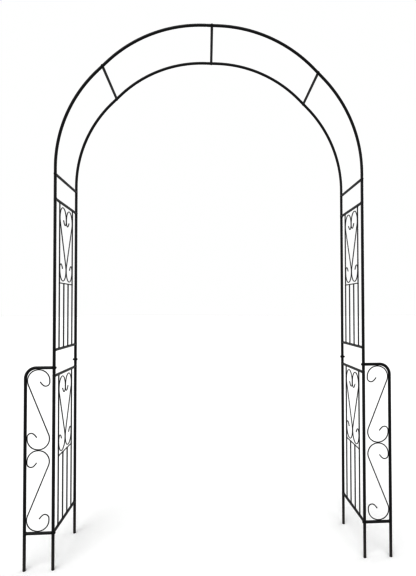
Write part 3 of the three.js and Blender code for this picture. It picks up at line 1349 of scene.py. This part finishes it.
@dataclass
class Wings(SubAssembly):
    """The narrow scrolled frames beside the front posts."""

    bend_radius: float = 0.045
    bend_step: float = math.radians(4)
    scroll_room: float = 0.0097
    tube_start: float = FootPlug.flange + FOOT_SEAM
    bead: float = 0.0018
    bead_fit: float = 0.98
    weld_sink: float = 0.0004

    def build(self) -> None:
        """Builds both wings and their foot plugs."""
        plugs = FootPlug(self.layout, self.finishes)
        for side in Side:
            outward = side.value * X_AXIS
            foot = self.layout.post(side, Face.FRONT)
            plugs.build(f"wing_foot_plug_{side.label}", foot + self.layout.wing * outward)
            self._frame(side, Plane(foot, outward))

    def _frame(self, side: Side, plane: Plane) -> None:
        """Builds a wing's tubes and scrolls.

        Args:
            side: the side it stands on.
            plane: the wing's plane, from its post's foot outwards and upwards.
        """
        size = self.layout
        low = middle(f"wing_rung_bolt_{side.label}").z
        room = size.tube + GAP
        frame = Route(size.wing, self.tube_start, math.pi / 2)
        frame.straight(size.joint - self.bend_radius - self.tube_start)
        frame.bend(self.bend_radius, math.pi / 2, self.bend_step)
        frame.straight(size.wing - self.bend_radius - room)
        name = f"wing_frame_{side.label}"
        self.tube(name, frame, plane, self.stock.outline(frame.length, end=TubeEnd.TAPPED), name)
        rung = Route(size.wing - room, low, math.pi).straight(size.wing - 2 * room)
        name = f"wing_rung_{side.label}"
        self.tube(name, rung, plane, self.stock.outline(rung.length, end=TubeEnd.TAPPED))
        welds = Piece()
        root = plane.point(size.wing, low)
        welds.bead(root, -plane.x_way, Z_AXIS, Bead(size.tube * self.bead_fit, size.tube, self.bead))
        self._scrolls(side, plane, low, welds)
        welds.finished(f"wing_welds_{side.label}", self.finishes.weld, Slot.WIRE)

    def _scrolls(self, side: Side, plane: Plane, low: float, welds: Piece) -> None:
        """Builds a wing's two scrolls, one above the other, and the tacks that hold them.

        Args:
            side: the side it stands on.
            plane: the wing's plane.
            low: height of its rung.
            welds: the piece that gathers the wing's welds.
        """
        size = self.layout
        reach = size.tube + GAP + size.wire
        inner_wire = size.tube + self.scroll_room + size.wire
        loop_radius = (size.wing - reach - inner_wire) / 2
        bottom, top = low + reach, size.joint - reach
        centre = (bottom + top) / 2
        height = top - centre - (size.wire - self.weld_sink / 2)
        middle_x = size.wing - reach - loop_radius
        route = Scroll(height, loop_radius).route()
        scrolls = Piece()
        for up, end in ((1, top), (-1, bottom)):
            middle_z = end - up * height / 2
            origin = plane.point(middle_x, middle_z)
            scrolls.rod(route, Plane(origin, plane.x_way, up * Z_AXIS), size.wire)
            touching = plane.point(middle_x, end + up * size.wire)
            welds.tack(touching, plane.x_way, up * Z_AXIS, Tack())
            for turn in (1, -1):
                level = middle_z + turn * (height / 2 - loop_radius)
                touching = plane.point(size.wing - size.tube, level)
                welds.tack(touching, Z_AXIS, plane.x_way, Tack())
        welds.tack(plane.point(middle_x, centre), plane.x_way, Z_AXIS, SLIM_TACK)
        name = f"wing_scrolls_{side.label}"
        scrolls.finished(name, self.finishes.wire, Slot.WIRE, name)


@dataclass
class Hardware(SubAssembly):
    """The button-head bolts and the hexagon nuts.

    The crown is a share of the head's height, the flat top, mouth and taper are shares of the socket,
    and the face and shoulder are shares of the nut.  The wear fields say how much each part is rubbed.
    """

    head: float = 0.005
    head_height: float = 0.0032
    head_edge: float = 0.0003
    head_wear: float = 0.4
    crown: float = 0.72
    crown_steps: int = 8
    crown_wear: float = 0.6
    flat_top: float = 1.5
    shank: float = 0.0025
    grip: float = 0.012
    socket: float = 0.00175
    socket_depth: float = 0.0019
    socket_cone: float = 0.0004
    socket_lip: float = 0.00025
    socket_mouth: float = 1.12
    socket_taper: float = 0.9
    socket_wear: float = 0.5
    nut: float = 0.00425
    nut_height: float = 0.004
    nut_chamfer: float = 0.0006
    nut_face: float = 0.885
    nut_shoulder: float = 0.945
    nut_wear: float = 0.7
    tip: float = 0.002
    tip_bevel: float = 0.0005
    tip_chamfer: float = 0.0006
    pitch: float = 0.0008
    pitch_steps: int = 8
    thread_depth: float = 0.00042
    thread_length: float = 0.009
    thread_wear: float = 0.3

    def build(self) -> None:
        """Builds every bolt and nut."""
        size = self.layout
        seat = size.tube + GAP
        through = 2 * seat
        for face in Face:
            for index in range(size.joints):
                name = f"hoop_bolt_{face.label}_{index + 1}"
                joint = size.hoop_joint(index) + face.value * (size.half_depth + seat) * Y_AXIS
                self._bolt(name, joint, -face.value * Y_AXIS, through + self.grip)
        for side in Side:
            inward = -side.value * X_AXIS
            for kind in ("wing_top_bolt", "wing_rung_bolt"):
                name = f"{kind}_{side.label}"
                level = middle(name).z * Z_AXIS
                place = size.post(side, Face.FRONT) + level + seat * inward
                self._bolt(name, place, -inward, through + self.grip)
            place = size.post(side, Face.BACK) + size.joint * Z_AXIS
            length = through + self.nut_height + self.tip
            self._bolt(f"post_bolt_{side.label}", place + seat * inward, -inward, length)
            self._nut(f"post_nut_{side.label}", place - seat * inward, -inward)

    def _groove(self, start: float, distance: float, angle: float) -> float:
        """Measures the groove of a bolt's thread.

        Args:
            start: where the thread starts along the bolt.
            distance: where the groove is measured along the bolt.
            angle: the direction round the bolt.

        Returns:
            The depth cut away there.
        """
        if distance < start:
            return 0
        turn = (distance / self.pitch - angle / (2 * math.pi)) % 1
        return self.thread_depth * abs(2 * turn - 1) * min(1, (distance - start) / self.pitch)

    def _head(self) -> list[Ring]:
        """The rings of a bolt's head, from the bottom of its socket to the edge of its underside.

        Returns:
            The rings, measured from the top of the head.
        """
        head, height, edge, socket = self.head, self.head_height, self.head_edge, self.socket
        rings = [
            Ring(0, self.socket_depth + self.socket_cone),
            Ring(self.socket_taper * socket, self.socket_depth, 0, socket),
            Ring(socket, self.socket_depth - self.socket_cone / 2, 0, socket),
            Ring(socket, self.socket_lip, self.socket_wear, socket),
            Ring(self.socket_mouth * socket, 0, 1),
        ]
        top = self.flat_top * socket
        for i in range(self.crown_steps + 1):
            share = math.pi / 2 * i / self.crown_steps
            radius = top + (head - top) * math.sin(share)
            worn = self.crown_wear if i == self.crown_steps else 0
            rings.append(Ring(radius, self.crown * height * (1 - math.cos(share)), worn))
        rings.append(Ring(head, height - edge, self.head_wear))
        rings.append(Ring(head - edge, height, self.head_wear))
        return rings

    def _bolt(self, name: str, seat: Vector, away: Vector, length: float) -> None:
        """Builds a bolt with a domed head, a hexagon socket and a threaded end.

        Args:
            name: the piece's name.
            seat: the middle of the underside of its head.
            away: direction from its head to its tip.
            length: from the underside of its head to its tip.
        """
        height, shank, end = self.head_height, self.shank, self.head_height + length
        start = end - self.thread_length
        rings = [*self._head(), Ring(shank, height), Ring(shank, start)]
        threads = round(self.thread_length / self.pitch * self.pitch_steps)
        for i in range(1, threads):
            distance = start + self.thread_length * i / threads
            chamfer = max(0, self.tip_bevel - (end - distance))
            rings.append(Ring(shank - chamfer, distance, self.thread_wear))
        rings += [Ring(shank - self.tip_chamfer, end, self.thread_wear), Ring(0, end)]
        plane = Plane(seat - height * away, away)
        bolt = Piece()
        bolt.sweep(Route().straight(end), plane, rings, BOLT_SIDES, partial(self._groove, start))
        bolt.finished(name, self.finishes.fastener, Slot.FASTENER, name)

    def _nut(self, name: str, seat: Vector, away: Vector) -> None:
        """Builds a nut with its corners chamfered at both faces.

        Args:
            name: the piece's name.
            seat: the middle of the face that bears on the tube.
            away: direction from that face outwards.
        """
        corner, height, bore, chamfer = self.nut, self.nut_height, self.shank + GAP, self.nut_chamfer
        near = [
            Ring(self.nut_face * corner, 0, self.socket_wear, corner),
            Ring(self.nut_shoulder * corner, chamfer / 2, self.nut_wear, corner),
            Ring(corner, chamfer, self.nut_wear, corner),
            Ring(corner, 2 * chamfer, 0, corner),
        ]
        hole = [
            Ring(bore + GAP, height, self.socket_wear),
            Ring(bore, height - GAP),
            Ring(bore, GAP),
            Ring(bore + GAP, 0),
        ]
        rings = [*near, *mirrored(near, height), *hole]
        nut = Piece()
        nut.sweep(Route().straight(height), Plane(seat, away), rings, BOLT_SIDES)
        nut.finished(name, self.finishes.fastener, Slot.FASTENER, name)


# The studio


@dataclass
class Viewpoint:
    """The camera in front of the arch, a little below half its height and close to its middle."""

    eye: Vector = field(default_factory=lambda: Vector((-0.0238, -2.4542, 1.1291)))
    pitch: float = math.radians(1.344)
    roll: float = math.radians(0.14)
    turn: float = math.radians(-4.27)
    lens: float = 31.85
    sensor: float = 36
    shift: Range = (-0.064, 0.0119)
    clip: Range = (0.05, 200)

    def build(self) -> None:
        """Makes the camera and gives it to the scene."""
        data = bpy.data.cameras.new("front_camera")
        data.sensor_fit = "AUTO"
        data.sensor_width = self.sensor
        data.lens = self.lens
        data.shift_x, data.shift_y = self.shift
        data.clip_start, data.clip_end = self.clip
        camera = bpy.data.objects.new("front_camera", data)
        camera.location = self.eye
        camera.rotation_euler = Euler((math.pi / 2 + self.pitch, self.roll, self.turn))
        bpy.context.scene.collection.objects.link(camera)
        bpy.context.scene.camera = camera


@dataclass(frozen=True)
class SoftLight:
    """A wide, distant light, placed by its bearing from the front, positive to the right."""

    name: str
    energy: float
    bearing: float
    height: float
    width: float

    def build(self) -> None:
        """Makes the light and gives it to the scene."""
        light = bpy.data.lights.new(self.name, "SUN")
        light.energy = self.energy
        light.angle = math.radians(self.width)
        holder = bpy.data.objects.new(self.name, light)
        tilt, turn = math.radians(90 - self.height), math.radians(self.bearing)
        holder.rotation_euler = Euler((tilt, 0, turn))
        bpy.context.scene.collection.objects.link(holder)


@dataclass
class Studio:
    """A white paper floor under an even white sky, with wide soft lights on three sides."""

    floor_radius: float = 60
    floor_sides: int = 96
    contrast: float = 0.5
    sky: float = 1.0
    lights: tuple[SoftLight, ...] = (
        SoftLight("soft_key", energy=2.4, bearing=-14, height=48, width=46),
        SoftLight("soft_left", energy=1.1, bearing=-78, height=11, width=26),
        SoftLight("soft_rim", energy=1.1, bearing=112, height=14, width=26),
    )

    def build(self) -> None:
        """Builds the floor, the sky and the lights."""
        scene = bpy.context.scene
        scene.view_settings.view_transform = "Standard"
        scene.view_settings.gamma = self.contrast
        world = bpy.data.worlds.new("studio_sky")
        world.use_nodes = True
        background = world.node_tree.nodes["Background"]
        background.inputs["Color"].default_value = (1, 1, 1, 1)
        background.inputs["Strength"].default_value = self.sky
        scene.world = world
        for light in self.lights:
            light.build()
        self._floor()

    def _floor(self) -> None:
        """Builds the round sheet of paper that the arch stands on."""
        radius, sides = self.floor_radius, self.floor_sides
        edge = [(radius * math.cos(angle), radius * math.sin(angle), 0) for angle in angles(sides)]
        faces = [(0, i + 1, (i + 1) % sides + 1) for i in range(sides)]
        mesh = bpy.data.meshes.new("studio_floor")
        mesh.from_pydata([(0, 0, 0), *edge], [], faces)
        mesh.materials.append(WhitePaper("white_paper").material())
        floor = bpy.data.objects.new("studio_floor", mesh)
        bpy.context.scene.collection.objects.link(floor)


def main() -> None:
    """Loads the frame and builds the camera, the arch and the studio round it."""
    logging.basicConfig(level=logging.INFO, format="%(message)s")
    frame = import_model()
    Viewpoint().build()
    layout = Layout.read(frame["nodes"])
    LOG.info("%s", layout)
    finishes = Finishes.mixed()
    Posts(layout, finishes).build()
    Hoops(layout, finishes).build()
    SidePanels(layout, finishes).build()
    Wings(layout, finishes).build()
    Hardware(layout, finishes).build()
    Studio().build()


if __name__ == "__main__":
    main()
